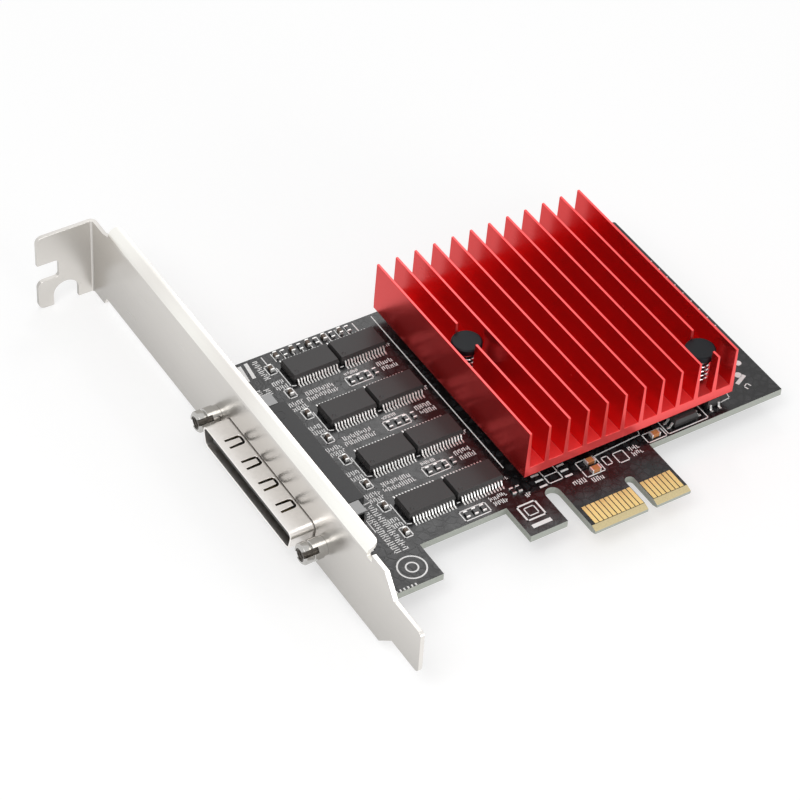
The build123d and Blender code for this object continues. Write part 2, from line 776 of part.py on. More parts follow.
def save_connector():
    save("bracket", bracket())
    save("connector_shell", connector_shell())
    save("connector_housing", connector_housing())
    save("connector_contacts", connector_contacts())
    save("connector_solder_joints", connector_joints())
    save("jack_post_upper", jack_post(1))
    save("jack_post_lower", jack_post(-1))


def save_cooling():
    save("heatsink", heatsink())
    save("controller_chip", under_sink(CONTROLLER_SIZE, 0, CONTROLLER_T))
    save("thermal_pad", under_sink(THERMAL_PAD_SIZE, CONTROLLER_T, SINK_BOTTOM))
    for name, place in zip(("left", "right"), PIN_PLACES):
        save("push_pin_" + name, push_pin(place))
        save("push_pin_spring_" + name, coil_spring(place))


def save_transceivers():
    for number, place in enumerate(transceiver_places(), 1):
        spot = Pos(*place, 0)
        leads = lead_rows(LEAD_COUNT, LEAD_PITCH, CHIP_W, LEAD_SPAN, LEAD_W)
        save(f"transceiver_{number}", spot * chip_body(CHIP_L, CHIP_W))
        save(f"transceiver_leads_{number}", [spot * lead for lead in leads])


def save_small_chips():
    turn = Pos(MEMORY_X, MEMORY_Y, 0) * Rot(0, 0, 90)
    span = MEMORY_SIZE + LEAD_SPAN - CHIP_W
    leads = lead_rows(MEMORY_LEAD_COUNT, MEMORY_PITCH, MEMORY_SIZE, span, MEMORY_LEAD_W)
    save("memory_chip", turn * chip_body(MEMORY_SIZE, MEMORY_SIZE))
    save("memory_chip_leads", [turn * lead for lead in leads])
    spot = Pos(REGULATOR_X, REGULATOR_Y, 0)
    save("regulator", spot * chip_body(REGULATOR_L, REGULATOR_W))
    save("regulator_leads", [spot * lead for lead in regulator_leads()])


def save_small_parts():
    groups = (
        ("chip_capacitors", capacitor_places(), True, CAP_L, CAP_W, CAP_T),
        ("chip_resistors", resistor_places(), True, CAP_L, CAP_W, RES_T),
        ("supply_capacitors", BIG_CAP_PLACES, False, BIG_CAP_L, BIG_CAP_W, BIG_CAP_T),
    )
    for name, places, along_y, length, width, height in groups:
        bodies, ends = small_parts(places, along_y, length, width, height)
        save(name, bodies)
        save(name[:-1] + "_ends", ends)


os.makedirs("parts", exist_ok=True)
save_board()
save_connector()
save_cooling()
save_transceivers()
save_small_chips()
save_small_parts()
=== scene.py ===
"""Dresses the serial port card with finishes, print, lands and springs, on a plain stage."""

import math
import random

import bmesh
import bpy
from bpy.props import FloatProperty, FloatVectorProperty, IntProperty, PointerProperty
from mathutils import Matrix, Vector


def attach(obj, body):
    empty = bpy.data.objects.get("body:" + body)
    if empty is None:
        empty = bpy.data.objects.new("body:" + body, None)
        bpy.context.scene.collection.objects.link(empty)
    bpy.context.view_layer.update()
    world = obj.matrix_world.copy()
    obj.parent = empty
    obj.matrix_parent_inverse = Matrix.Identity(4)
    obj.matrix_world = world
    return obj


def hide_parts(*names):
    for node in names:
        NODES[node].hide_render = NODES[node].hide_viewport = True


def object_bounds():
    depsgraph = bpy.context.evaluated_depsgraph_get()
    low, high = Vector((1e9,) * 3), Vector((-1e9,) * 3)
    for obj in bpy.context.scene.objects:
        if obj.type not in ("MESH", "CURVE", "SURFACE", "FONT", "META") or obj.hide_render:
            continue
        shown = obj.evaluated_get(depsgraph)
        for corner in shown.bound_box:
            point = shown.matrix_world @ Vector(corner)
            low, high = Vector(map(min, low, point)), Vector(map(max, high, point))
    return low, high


bl_info = {
    "name": "Serial port card",
    "version": (1, 0, 0),
    "blender": (4, 5, 0),
    "location": "View3D > Sidebar > Serial card",
    "description": "Dresses the serial port card and sets up its stage",
    "category": "Object",
}

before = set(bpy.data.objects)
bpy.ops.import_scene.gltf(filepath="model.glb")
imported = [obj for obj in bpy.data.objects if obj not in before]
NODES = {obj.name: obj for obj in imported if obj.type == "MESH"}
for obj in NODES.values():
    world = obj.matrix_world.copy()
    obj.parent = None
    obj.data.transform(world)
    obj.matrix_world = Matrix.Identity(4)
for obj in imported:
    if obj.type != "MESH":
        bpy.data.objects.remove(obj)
CAD_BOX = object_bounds()

# Millimetres in the card's own frame, down to the stage
MM = 0.001
BOARD_T = 1.57

# Chips, with the heights of a body's foot, widest line and top, and its inset at each
CHIP_COLUMNS = (-36.15, -25.75)
CHIP_ROWS = (62.0, 48.3, 34.6, 20.9)
CHIP_SIZE = (10.0, 5.3)
MEMORY_PLACE = (17.8, 17.0)
MEMORY_SIZE = (5.3, 5.3)
CHIP_HEIGHTS = (0.1, 1.05, 1.85)
CHIP_INSETS = (0.12, 0.0, 0.23)
DIMPLE_FROM_CORNER = (1.15, 1.05)
DIMPLE_R = 0.42
DIMPLE_FLOOR_R = 0.33
DIMPLE_DEPTH = 0.09
DIMPLE_STEPS = 20
LEAD_COUNT = 14
LEAD_PITCH = 0.65
LEAD_TOE = 3.9
LAND_W = 0.3
LAND_INSIDE_TOE = 0.75
LAND_PAST_TOE = 0.25
LAND_T = 0.03

# Bracket, push pins and connector
# Faces of the bracket's fold above this height take a paler copy of the steel, a painted
# highlight
FOLD_START_Z = 12.5
# Heights over which the painted shade on the bracket's face lightens upward
FACE_SHADE_Z = (-6, 12)
PIN_PLACES = {"left": (-13.475, 43.4), "right": (23.875, 20.5)}
SPRING_LOW = 4.7
SPRING_HIGH = 10.5
CONNECTOR_Y = 37.95
CONNECTOR_Z = 2.35
FLANGE_BACK_X = -57.1
HOUSING_TOP_Z = 4.65
GATE_RING = (-50.1, 49.2, 0.95, 1.15, 28)
GATE_RING_T = 0.03
POST_SIDES = {"upper": 1, "lower": -1}
POST_END_X = -63.7
POST_OFFSET_Y = 19.05
BORE_R = 1.3
BORE_FIT = 0.02
BORE_END_X = -59.4
LINING_START = 0.12
LINING_GAP = 0.01
LINING_STEPS = 32
THREAD_CREST_R = 1.0
THREAD_ROOT_R = 1.18
THREAD_PITCH = 0.4
THREAD_TURNS = 9

# Rounding of the edges
BOARD_ROUND = 0.06
SHELL_ROUND = 0.06
HOUSING_ROUND = 0.08
JOINT_ROUND = 0.12
POST_ROUND = 0.05
PIN_ROUND = 0.08
PACKAGE_ROUND = 0.08
CHIP_ROUND = 0.04
LEAD_ROUND = 0.03
REGULATOR_ROUND = 0.05
SMALL_LEAD_ROUND = 0.04
SMALL_PART_ROUND = 0.06

# Print, with the ticks' pitch as a share of their height
TICK_W = 0.18
TICK_PITCH = 0.44
DISC_STEPS = 16

# Lines at the left ends of the chips: column, then both ends from the chip's left end and the
# row's middle
CHIP_LINES = (
    (0, -0.75, 2.6, -0.75, -2.9),
    (0, -0.75, -2.9, 0.1, -3.25),
    (1, -0.25, -3.0, 0.2, -3.0),
)

# Frames round the capacitors beside a row of chips, by middle, and round the resistors under
# each row, by right end and middle
CAPACITOR_FRAMES = ((-43.1, 2.75), (-43.0, -4.55))
CAPACITOR_FRAME_HALF = (0.85, 1.3)
GROUP_FRAMES = ((-27.0, -7.2), (-27.0, -7.2), (-27.0, -7.2), (-26.6, -6.4))
GROUP_FRAME_LEFT = -32.1
GROUP_FRAME_HALF_H = 1.25

# Ticks by the rows of chips: left end, height over the row's middle, count, size, seed to which
# the row's number is added, and the rows that have them
TICKS_BY_CHIPS = (
    (-44.8, 4.4, 7, 1.0, 10, (1, 2, 3)),
    (-44.9, 5.8, 7, 1.0, 20, (1, 2, 3)),
    (-44.7, -2.9, 6, 1.0, 30, (0, 1, 2, 3)),
    (-44.8, -1.5, 6, 1.0, 40, (0, 1, 2, 3)),
    (-41.0, 5.6, 15, 1.0, 50, (1, 2, 3)),
    (-40.6, 7.0, 14, 1.0, 60, (1, 2, 3)),
    (-24.6, -6.2, 8, 1.0, 70, (0, 1, 2)),
    (-24.3, -7.7, 8, 1.0, 80, (0, 1, 2)),
    (-31.5, -5.4, 10, 0.7, 90, (0, 1, 2)),
    (-25.4, -5.6, 9, 0.9, 75, (3,)),
    (-25.2, -7.0, 7, 0.9, 76, (3,)),
    (-20.6, -2.2, 3, 0.9, 100, (0, 1, 2, 3)),
)

# Print at the edges. Runs of lines: the first line, the step, the count and the line's widths
LINE_RUNS = (
    ((-43.0, 66.3, -43.0, 68.5), (2.02, 0), 11, 1),
    ((-15.4, 13.9, -14.2, 13.9), (0, 1.5), 3, 2),
    ((-9.8, 13.9, -8.6, 13.9), (0, 1.5), 3, 2),
    ((38.5, 55.6, 39.1, 55.6), (0, -2.7), 9, 1),
)
EDGE_LINES = (
    (-18.55, 68.4, -18.75, 21.5), (-47.8, 19.0, -47.8, 25.6), (-47.8, 25.6, -44.5, 25.9),
    (-2.1, 15.75, 8.4, 16.3), (8.4, 16.3, 8.7, 17.1), (-13.5, 15.8, -10.5, 15.8),
    (27.1, 16.0, 29.3, 16.2), (29.3, 16.2, 29.7, 18.2),
)
EDGE_FRAMES = (
    (-13.5, 13.85, -10.5, 17.5), (-6.5, 11.8, -2.4, 13.7), (-6.5, 13.7, -2.4, 15.9),
    (8.7, 13.65, 12.9, 16.0), (1.0, 11.9, 3.2, 14.6), (-1.5, 12.6, -0.2, 14.7),
    (13.4, 13.8, 22.6, 20.0),
)

# Left end, lower end, count, size, seed, and whether the row runs up the board
EDGE_TICKS = (
    (-44.3, 62.8, 12, 1.1, 111, True), (-47.4, 59.4, 4, 1.1, 112, True),
    (-46.0, 59.0, 4, 1.1, 113, True), (-44.6, 12.8, 24, 1.2, 120, True),
    (-46.3, 12.8, 24, 1.2, 121, True), (4.4, 12.2, 5, 1.0, 140, False),
    (4.4, 13.6, 5, 1.0, 141, False), (-9.6, 11.0, 6, 1.1, 142, False),
    (-6.0, 10.2, 6, 1.0, 143, False), (-19.0, 13.0, 3, 0.9, 145, False),
)

# Bars on the front tab's lower edge: left, low and high ends of the first, width, pitch, count
TAB_BARS = (-52.3, 4.45, 5.0, 0.32, 0.8, 6)

# Plain marks, with a frame's width in line widths and a bar's in millimetres
MARK_RINGS = ((-46.6, 8.5, 2.55, 2.85, 40), (-46.6, 8.5, 1.0, 1.3, 28))
MARK_FRAMES = (
    (-22.2, 7.9, -18.3, 11.7, 1.6), (-21.3, 8.8, -19.2, 10.8, 1.0),
    (-51.55, 15.35, -50.25, 16.65, 1.3),
)
MARK_PLATE = (-22.3, 5.85, -18.2, 6.75)
MARK_BARS = (
    (-48.4, 64.3, -48.0, 68.0, 0.75), (-46.9, 64.6, -46.5, 68.2, 0.75),
    (33.2, 18.7, 35.2, 19.7, 0.8),
)
MARK_DISCS = ((34.5, 20.5, 0.75), (36.5, 23.2, 0.7))
MARK_LINES = (
    (33.6, 17.3, 34.6, 17.8), (33.6, 17.3, 33.9, 16.5), (34.6, 17.8, 34.9, 17.0),
)

# Via holes: the front tab's, those strewn by the chips clear of the connector's housing, and
# two more strewn areas by count, x ends and y ends
VIA_R = 0.16
VIA_T = 0.008
VIA_STEPS = 8
VIA_SEED = 7
FRONT_TAB_VIAS = (
    (-43.5, 12.4), (-45.8, 12.2), (-49.0, 15.5), (-49.7, 12.8), (-50.2, 9.5), (-51.5, 6.6),
    (-49.2, 6.8), (-46.7, 6.9), (-43.3, 6.8), (-43.6, 9.7), (-48.3, 13.1), (-50.9, 16.0),
)
VIAS_BY_BRACKET = 130
CHIP_SIDE_X = (-52, -19)
CHIP_SIDE_Y = (16.5, 67)
HOUSING_X = -47
HOUSING_Y = (22, 54)
CHIP_CLEAR_X = (-42, -20)
CHIP_CLEAR_Y = 5.2
MORE_VIAS = ((40, (30.5, 38), (15, 66)), (16, (-11.5, 7.5), (7.2, 13)))
KEY_NOTCH_CLEAR = 1.4

# Stage, in metres: each light's place, target, size and power
FLOOR_GAP = 0.02 * MM
FLOOR_SHADE = 0.5
FLOOR_GLOW = 0.545
SOFTBOXES = {
    "far_softbox": ((0.172, 0.33, 0.345), (0.172, 0.33, 0), (0.07, 0.15), "softbox_power"),
    "key_softbox": ((-0.32, -0.1, 0.5), (0, 0.04, 0), (0.3, 0.3), "key_power"),
    "front_softbox": ((0.1, -0.6, 0.13), (0, 0.04, 0.01), (0.4, 0.16), "front_power"),
}
CAMERA_PLACE = (-0.2490, -0.2786, 0.3775)
CAMERA_FORWARD = (0.4111, 0.593, -0.6924)
CAMERA_UP = (0.3353, 0.6079, 0.7197)
CAMERA_SHIFT = (-0.0102, 0.0026)
CAMERA_SENSOR = 36.0


class CardColours(bpy.types.PropertyGroup):
    """Colours that a user would change."""

    mask: FloatVectorProperty(
        name="Solder mask", description="Lacquer over the board", subtype="COLOR",
        default=(0.013, 0.013, 0.014), min=0, max=1)
    anodising: FloatVectorProperty(
        name="Anodising", description="Dyed layer on the heat sink", subtype="COLOR",
        default=(0.72, 0.024, 0.024), min=0, max=1)
    steel: FloatVectorProperty(
        name="Bracket steel", description="Plated sheet of the bracket", subtype="COLOR",
        default=(0.73, 0.705, 0.67), min=0, max=1)
    nickel: FloatVectorProperty(
        name="Nickel", description="Connector shell", subtype="COLOR",
        default=(0.93, 0.9, 0.87), min=0, max=1)
    turned: FloatVectorProperty(
        name="Turned nickel", description="Jack posts", subtype="COLOR",
        default=(0.5, 0.49, 0.47), min=0, max=1)
    lock: FloatVectorProperty(
        name="Board locks", description="Straps that hold the connector to the board",
        subtype="COLOR", default=(0.3, 0.3, 0.3), min=0, max=1)
    gold: FloatVectorProperty(
        name="Gold", description="Plated contacts", subtype="COLOR",
        default=(0.68, 0.52, 0.22), min=0, max=1)
    tin: FloatVectorProperty(
        name="Tin", description="Leads, lands and solder", subtype="COLOR",
        default=(0.9, 0.9, 0.88), min=0, max=1)
    epoxy: FloatVectorProperty(
        name="Chip moulding", description="Epoxy bodies of the chips", subtype="COLOR",
        default=(0.03, 0.028, 0.028), min=0, max=1)
    ink: FloatVectorProperty(
        name="Printed ink", description="White marks on the board", subtype="COLOR",
        default=(0.86, 0.86, 0.85), min=0, max=1)
    ceramic: FloatVectorProperty(
        name="Ceramic", description="Bodies of the chip capacitors", subtype="COLOR",
        default=(0.1, 0.07, 0.05), min=0, max=1)
    tan_ceramic: FloatVectorProperty(
        name="Tan ceramic", description="Bodies of the supply capacitors", subtype="COLOR",
        default=(0.5, 0.2, 0.07), min=0, max=1)
    floor: FloatVectorProperty(
        name="Floor", description="Pale floor under the card", subtype="COLOR",
        default=(0.8, 0.8, 0.8), min=0, max=1)


class CardSizes(bpy.types.PropertyGroup):
    """Sizes of what is added to the CAD frame."""

    ink_width: FloatProperty(
        name="Line width", description="Width of the printed lines",
        default=0.22 * MM, min=0.05 * MM, max=1 * MM, unit="LENGTH", precision=5)
    ink_height: FloatProperty(
        name="Ink height", description="Height of the ink over the mask",
        default=0.02 * MM, min=0.005 * MM, max=0.1 * MM, unit="LENGTH", precision=5)
    spring_radius: FloatProperty(
        name="Spring radius", description="From a coil's axis to the middle of its wire",
        default=2.25 * MM, min=1 * MM, max=3 * MM, unit="LENGTH", precision=5)
    spring_wire: FloatProperty(
        name="Spring wire", description="Radius of the spring's wire",
        default=0.22 * MM, min=0.1 * MM, max=0.5 * MM, unit="LENGTH", precision=5)
    spring_turns: IntProperty(
        name="Spring turns", description="Turns of each spring", default=5, min=2, max=12)
    sheet_edge: FloatProperty(
        name="Sheet edge", description="Rounding of the bracket's cut edges",
        default=0.09 * MM, min=0, max=0.4 * MM, unit="LENGTH", precision=5)
    fin_edge: FloatProperty(
        name="Fin edge", description="Rounding of the heat sink's edges",
        default=0.07 * MM, min=0, max=0.4 * MM, unit="LENGTH", precision=5)


class CardStage(bpy.types.PropertyGroup):
    """Floor, lights and camera."""

    floor_size: FloatProperty(
        name="Floor size", description="Side of the square floor",
        default=4.0, min=0.5, max=20, unit="LENGTH")
    room_level: FloatProperty(
        name="Room light", description="Level of the light from all round",
        default=0.62, min=0, max=2)
    softbox_power: FloatProperty(
        name="Softbox", description="Power of the light over the card's far side",
        default=0.17, min=0, max=10, unit="POWER")
    key_power: FloatProperty(
        name="Key light", description="Power of the light over the bracket's side",
        default=1.0, min=0, max=10, unit="POWER")
    front_power: FloatProperty(
        name="Front light", description="Power of the low light before the contact tongue",
        default=1.5, min=0, max=10, unit="POWER")
    lens: FloatProperty(
        name="Lens", description="Focal length of the camera",
        default=130.55, min=20, max=400, unit="CAMERA")


# Finishes

def new_finish(name, **values):
    """Principled material whose constants stand on its own sockets."""
    material = bpy.data.materials.new(name)
    material.use_nodes = True
    shader = material.node_tree.nodes["Principled BSDF"]
    for socket, value in values.items():
        shader.inputs[socket.replace("_", " ")].default_value = value
    return material


def add_node(material, kind, inputs=None, **settings):
    node = material.node_tree.nodes.new(kind)
    for name, value in settings.items():
        setattr(node, name, value)
    for socket, value in (inputs or {}).items():
        node.inputs[socket].default_value = value
    return node


def link(material, out, into):
    material.node_tree.links.new(out, into)


def principled(material):
    return material.node_tree.nodes["Principled BSDF"]


def noise_over(material, scale, stretch=(1, 1, 1), detail=5.0):
    """Noise laid over the object in its own metres."""
    coords = add_node(material, "ShaderNodeTexCoord")
    mapping = add_node(material, "ShaderNodeMapping", {"Scale": stretch})
    noise = add_node(material, "ShaderNodeTexNoise", {"Scale": scale, "Detail": detail})
    link(material, coords.outputs["Object"], mapping.inputs["Vector"])
    link(material, mapping.outputs["Vector"], noise.inputs["Vector"])
    return noise


def vary_colour(material, value, colour, spread, low=0.3, high=0.7):
    """Runs the base colour from darker to lighter as the value rises."""
    ramp = add_node(material, "ShaderNodeValToRGB")
    ends = ramp.color_ramp.elements
    ends[0].position = low
    ends[1].position = high
    ends[0].color = (*(c * (1 - spread) for c in colour), 1)
    ends[1].color = (*(min(1, c * (1 + spread)) for c in colour), 1)
    link(material, value, ramp.inputs["Fac"])
    link(material, ramp.outputs["Color"], principled(material).inputs["Base Color"])


def vary_roughness(material, value, low, high):
    spread = add_node(material, "ShaderNodeMapRange", {"To Min": low, "To Max": high})
    link(material, value, spread.inputs["Value"])
    link(material, spread.outputs["Result"], principled(material).inputs["Roughness"])


def raise_bump(material, value, height, strength=1.0):
    bump = add_node(material, "ShaderNodeBump", {"Strength": strength, "Distance": height})
    link(material, value, bump.inputs["Height"])
    link(material, bump.outputs["Normal"], principled(material).inputs["Normal"])


def grained(name, colour, spread, grain, rough, height, stretch=(1, 1, 1), **values):
    """Finish with a fine grain in its colour, gloss and surface."""
    material = new_finish(name, **values)
    noise = noise_over(material, 1 / grain, stretch)
    vary_colour(material, noise.outputs["Fac"], colour, spread)
    vary_roughness(material, noise.outputs["Fac"], *rough)
    raise_bump(material, noise.outputs["Fac"], height)
    return material


def lighter_upward(material, clouds):
    """Value that rises with the height over the board, broken up by clouds, for the painted
    shade on the bracket's face.
    """
    low, high = FACE_SHADE_Z
    coords = add_node(material, "ShaderNodeTexCoord")
    split = add_node(material, "ShaderNodeSeparateXYZ")
    rise = add_node(
        material, "ShaderNodeMapRange",
        {"From Min": low * MM, "From Max": high * MM, "To Min": 0.0, "To Max": 0.7})
    tone = add_node(material, "ShaderNodeMath", {1: 0.4}, operation="MULTIPLY_ADD")
    link(material, coords.outputs["Object"], split.inputs["Vector"])
    link(material, split.outputs["Z"], rise.inputs["Value"])
    link(material, clouds, tone.inputs[0])
    link(material, rise.outputs["Result"], tone.inputs[2])
    return tone.outputs["Value"]


def plated_steel(name, colour, with_painted_shade=False):
    """Plated sheet with a fine rolled grain and soft clouds, with painted shade that lightens
    upward if asked.
    """
    material = new_finish(name, Metallic=1.0)
    grain = noise_over(material, 1 / (0.9 * MM), (1, 0.04, 1))
    clouds = noise_over(material, 1 / (24 * MM), (1, 0.6, 1), 1.0).outputs["Fac"]
    if with_painted_shade:
        vary_colour(material, lighter_upward(material, clouds), colour, 0.22, 0.15, 0.95)
    else:
        vary_colour(material, clouds, colour, 0.13, 0.36, 0.64)
    vary_roughness(material, grain.outputs["Fac"], 0.25, 0.34)
    raise_bump(material, grain.outputs["Fac"], 0.0012 * MM)
    return material


def solder_mask(colour):
    """Glossy dark lacquer with faint copper runs under it."""
    material = new_finish("solder_mask", IOR=1.5, Specular_IOR_Level=0.45)
    coords = add_node(material, "ShaderNodeTexCoord")
    mapping = add_node(material, "ShaderNodeMapping", {"Rotation": (0, 0, math.radians(45))})
    runs = add_node(
        material, "ShaderNodeTexVoronoi", {"Scale": 620.0, "Randomness": 0.85},
        feature="DISTANCE_TO_EDGE", distance="CHEBYCHEV")
    fine = add_node(material, "ShaderNodeTexNoise", {"Scale": 420.0, "Detail": 4.0})
    link(material, coords.outputs["Object"], mapping.inputs["Vector"])
    link(material, mapping.outputs["Vector"], runs.inputs["Vector"])
    link(material, coords.outputs["Object"], fine.inputs["Vector"])
    edge = add_node(material, "ShaderNodeMapRange", {"From Max": 0.16})
    link(material, runs.outputs["Distance"], edge.inputs["Value"])
    both = add_node(material, "ShaderNodeMath", operation="MULTIPLY")
    link(material, edge.outputs["Result"], both.inputs[0])
    link(material, fine.outputs["Fac"], both.inputs[1])
    vary_colour(material, both.outputs["Value"], colour, 0.6, 0.25, 0.55)
    vary_roughness(material, fine.outputs["Fac"], 0.18, 0.34)
    raise_bump(material, both.outputs["Value"], 0.02 * MM, 0.7)
    return material


def grained_looks(colours):
    """Name, colour, its spread, grain in mm, roughness, grain's height in mm, and the rest."""
    metal = {"Metallic": 1.0}
    red = tuple(colours.anodising)
    tin = tuple(colours.tin)
    return (
        ("nickel_shell", tuple(colours.nickel), 0.03, 0.7, (0.26, 0.34), 0.001, metal),
        ("nickel_turned", tuple(colours.turned), 0.08, 0.35, (0.06, 0.13), 0.001,
         {"stretch": (6, 1, 1), **metal}),
        ("board_lock", tuple(colours.lock), 0.06, 0.4, (0.4, 0.5), 0.002, metal),
        ("gold_plating", tuple(colours.gold), 0.05, 0.5, (0.3, 0.44), 0.001, metal),
        ("glass_edge", (0.36, 0.38, 0.34), 0.12, 0.25, (0.5, 0.7), 0.006,
         {"stretch": (1, 1, 5)}),
        ("bevel_edge", (0.6, 0.5, 0.27), 0.08, 0.3, (0.45, 0.6), 0.005, {}),
        ("red_anodised", red, 0.02, 8, (0.26, 0.28), 0.0001,
         {"Metallic": 0.82, "Coat_Weight": 0.16, "Coat_Roughness": 0.2}),
        # Paler copy of the anodising for the faces that don't face along X: a painted highlight
        # on the ends and tops
        ("red_cut", tuple(min(1, 1.3 * c + 0.05) for c in red), 0.04, 0.6, (0.28, 0.38), 0.001,
         {"Metallic": 0.55, "Coat_Weight": 0.25, "Coat_Roughness": 0.2}),
        # Dark steel for the thread in the jack posts' bores: painted shade
        ("thread_steel", (0.11, 0.1, 0.09), 0.1, 0.3, (0.22, 0.36), 0.001, metal),
        ("bore_shadow", (0.05, 0.045, 0.04), 0.1, 0.3, (0.3, 0.45), 0.002, {"Metallic": 0.6}),
        ("contact_gold", (0.12, 0.085, 0.03), 0.06, 0.4, (0.35, 0.5), 0.001, metal),
        ("tinned_land", (0.66, 0.66, 0.65), 0.08, 0.3, (0.4, 0.55), 0.003, metal),
        ("chip_moulding", tuple(colours.epoxy), 0.12, 0.12, (0.42, 0.55), 0.004, {}),
        ("tinned_leads", tin, 0.05, 0.3, (0.34, 0.46), 0.002, {"Metallic": 0.75}),
        ("solder", tin, 0.05, 0.5, (0.14, 0.25), 0.002, metal),
        ("black_moulding", (0.022, 0.022, 0.023), 0.1, 0.3, (0.35, 0.5), 0.004, {}),
        ("black_nylon", (0.005, 0.0065, 0.009), 0.1, 0.5, (0.36, 0.46), 0.004,
         {"Specular_IOR_Level": 0.18}),
        ("spring_steel", (0.72, 0.72, 0.74), 0.04, 0.4, (0.12, 0.22), 0.001, metal),
        ("ceramic_body", tuple(colours.ceramic), 0.1, 0.2, (0.35, 0.5), 0.003, {}),
        ("tan_ceramic", tuple(colours.tan_ceramic), 0.1, 0.2, (0.35, 0.5), 0.003, {}),
        ("resistor_body", (0.012, 0.012, 0.014), 0.1, 0.2, (0.2, 0.32), 0.003, {}),
        ("thermal_compound", (0.4, 0.41, 0.43), 0.06, 0.4, (0.6, 0.75), 0.01, {}),
        ("printed_ink", tuple(colours.ink), 0.05, 0.15, (0.45, 0.6), 0.002, {}),
        ("via_shadow", (0.006, 0.006, 0.007), 0.1, 0.2, (0.3, 0.45), 0.002, {}),
    )


def make_finishes(colours):
    """Every finish on the card, by name."""
    steel = tuple(colours.steel)
    finishes = {
        "bracket_steel": plated_steel("bracket_steel", steel),
        # Paler copy of the steel for the fold: a painted highlight
        "bracket_fold": plated_steel("bracket_fold", tuple(min(1, 1.25 * c) for c in steel)),
        # Darker copy of the steel for the face: painted shade that lightens upward
        "bracket_face": plated_steel("bracket_face", tuple(0.75 * c for c in steel), True),
        "solder_mask": solder_mask(tuple(colours.mask)),
    }
    for name, colour, spread, grain, rough, height, rest in grained_looks(colours):
        finishes[name] = grained(name, colour, spread, grain * MM, rough, height * MM, **rest)
    return finishes


FINISHES = {}


def finish(name):
    """Finish by name; all are made when the first is asked for."""
    if not FINISHES:
        FINISHES.update(make_finishes(bpy.context.scene.card_colours))
    return FINISHES[name]


# CAD nodes

def coat_node(node, *names):
    """Gives a CAD node its finishes, the first one all over."""
    mesh = NODES[node].data
    mesh.materials.clear()
    for name in names:
        mesh.materials.append(finish(name))
    mesh.polygons.foreach_set("material_index", [0] * len(mesh.polygons))


def shade(node, smooth):
    """Shades a CAD node smooth or flat, without the normals that it came with."""
    mesh = NODES[node].data
    if "custom_normal" in mesh.attributes:
        mesh.attributes.remove(mesh.attributes["custom_normal"])
    mesh.polygons.foreach_set("use_smooth", [smooth] * len(mesh.polygons))


def ease_edges(node, width, limit=28, segments=2):
    """Joins a CAD node's facets and rounds its edges, with modifiers alone."""
    shade(node, True)
    piece = NODES[node]
    weld = piece.modifiers.new("join_facets", "WELD")
    weld.merge_threshold = 1e-6
    merge = piece.modifiers.new("flatten_facets", "DECIMATE")
    merge.decimate_type = "DISSOLVE"
    merge.angle_limit = math.radians(0.5)
    merge.delimit = {"MATERIAL"}
    bevel = piece.modifiers.new("ease_edges", "BEVEL")
    bevel.width = width
    bevel.segments = segments
    bevel.limit_method = "ANGLE"
    bevel.angle_limit = math.radians(limit)
    bevel.harden_normals = True
    bevel.use_clamp_overlap = False


# Flat plans drawn on the board, in millimetres

def stroke(x0, y0, x1, y1, width):
    """Straight line of a given width, as a four-cornered plan."""
    along = Vector((x1 - x0, y1 - y0))
    across = Vector((-along.y, along.x)).normalized() * width / 2
    tip = along.normalized() * width / 2
    a = Vector((x0, y0)) - tip
    b = Vector((x1, y1)) + tip
    return [tuple(a - across), tuple(b - across), tuple(b + across), tuple(a + across)]


def rectangle(x0, y0, x1, y1):
    return [(x0, y0), (x1, y0), (x1, y1), (x0, y1)]


def outline(x0, y0, x1, y1, width):
    """Frame of four strokes."""
    corners = rectangle(x0, y0, x1, y1)
    return [stroke(*corners[n], *corners[(n + 1) % 4], width) for n in range(4)]


def disc(x, y, radius, steps):
    turns = [2 * math.pi * n / steps for n in range(steps)]
    return [(x + radius * math.cos(t), y + radius * math.sin(t)) for t in turns]


def ring(x, y, inner, outer, steps):
    """Ring cut into four-cornered plans."""
    near = disc(x, y, inner, steps)
    far = disc(x, y, outer, steps)
    return [[near[n - 1], far[n - 1], far[n], near[n]] for n in range(steps)]


def ticks(x, y, count, height, seed, upright=False):
    """Row of plain ticks where the real board has small print."""
    draw = random.Random(seed)
    plans = []
    pitch = height * TICK_PITCH
    for n in range(count):
        at = n * pitch
        low = draw.choice((0, 0, 0.3)) * height
        high = draw.choice((1, 1, 0.7)) * height
        plans.append((at, low, at, high))
        if n % 2 == 0:
            level = draw.choice((0.1, 0.5, 0.9)) * height
            plans.append((at, level, at + pitch * 0.7, level))
    placed = []
    for x0, y0, x1, y1 in plans:
        if upright:
            x0, y0, x1, y1 = -y0, x0, -y1, x1
        placed.append(stroke(x + x0, y + y0, x + x1, y + y1, TICK_W))
    return placed


# Pieces

def add_piece(name, mesh_or_curve, finish_name):
    """Puts a new piece on the card."""
    piece = bpy.data.objects.new(name, mesh_or_curve)
    bpy.context.scene.collection.objects.link(piece)
    mesh_or_curve.materials.append(finish(finish_name))
    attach(piece, "root")
    return piece


def loop_at(shape, plan, z):
    """Closed loop of corners over a flat plan, both in millimetres."""
    return [shape.verts.new((x * MM, y * MM, z * MM)) for x, y in plan]


def join_loops(shape, a, b):
    """Wall of four-cornered faces between two closed loops."""
    for n in range(len(a)):
        m = (n + 1) % len(a)
        shape.faces.new((a[n], a[m], b[m], b[n]))


def add_shape(name, shape, finish_name):
    """Piece made from a shape, with its faces turned outward."""
    bmesh.ops.recalc_face_normals(shape, faces=shape.faces)
    mesh = bpy.data.meshes.new(name)
    shape.to_mesh(mesh)
    shape.free()
    return add_piece(name, mesh, finish_name)


def plates(name, plans, z0, z1, finish_name):
    """Thin plates of one height on every plan."""
    shape = bmesh.new()
    for plan in plans:
        low = loop_at(shape, plan, z0)
        high = loop_at(shape, plan, z1)
        shape.faces.new(list(reversed(low)))
        shape.faces.new(high)
        join_loops(shape, low, high)
    return add_shape(name, shape, finish_name)


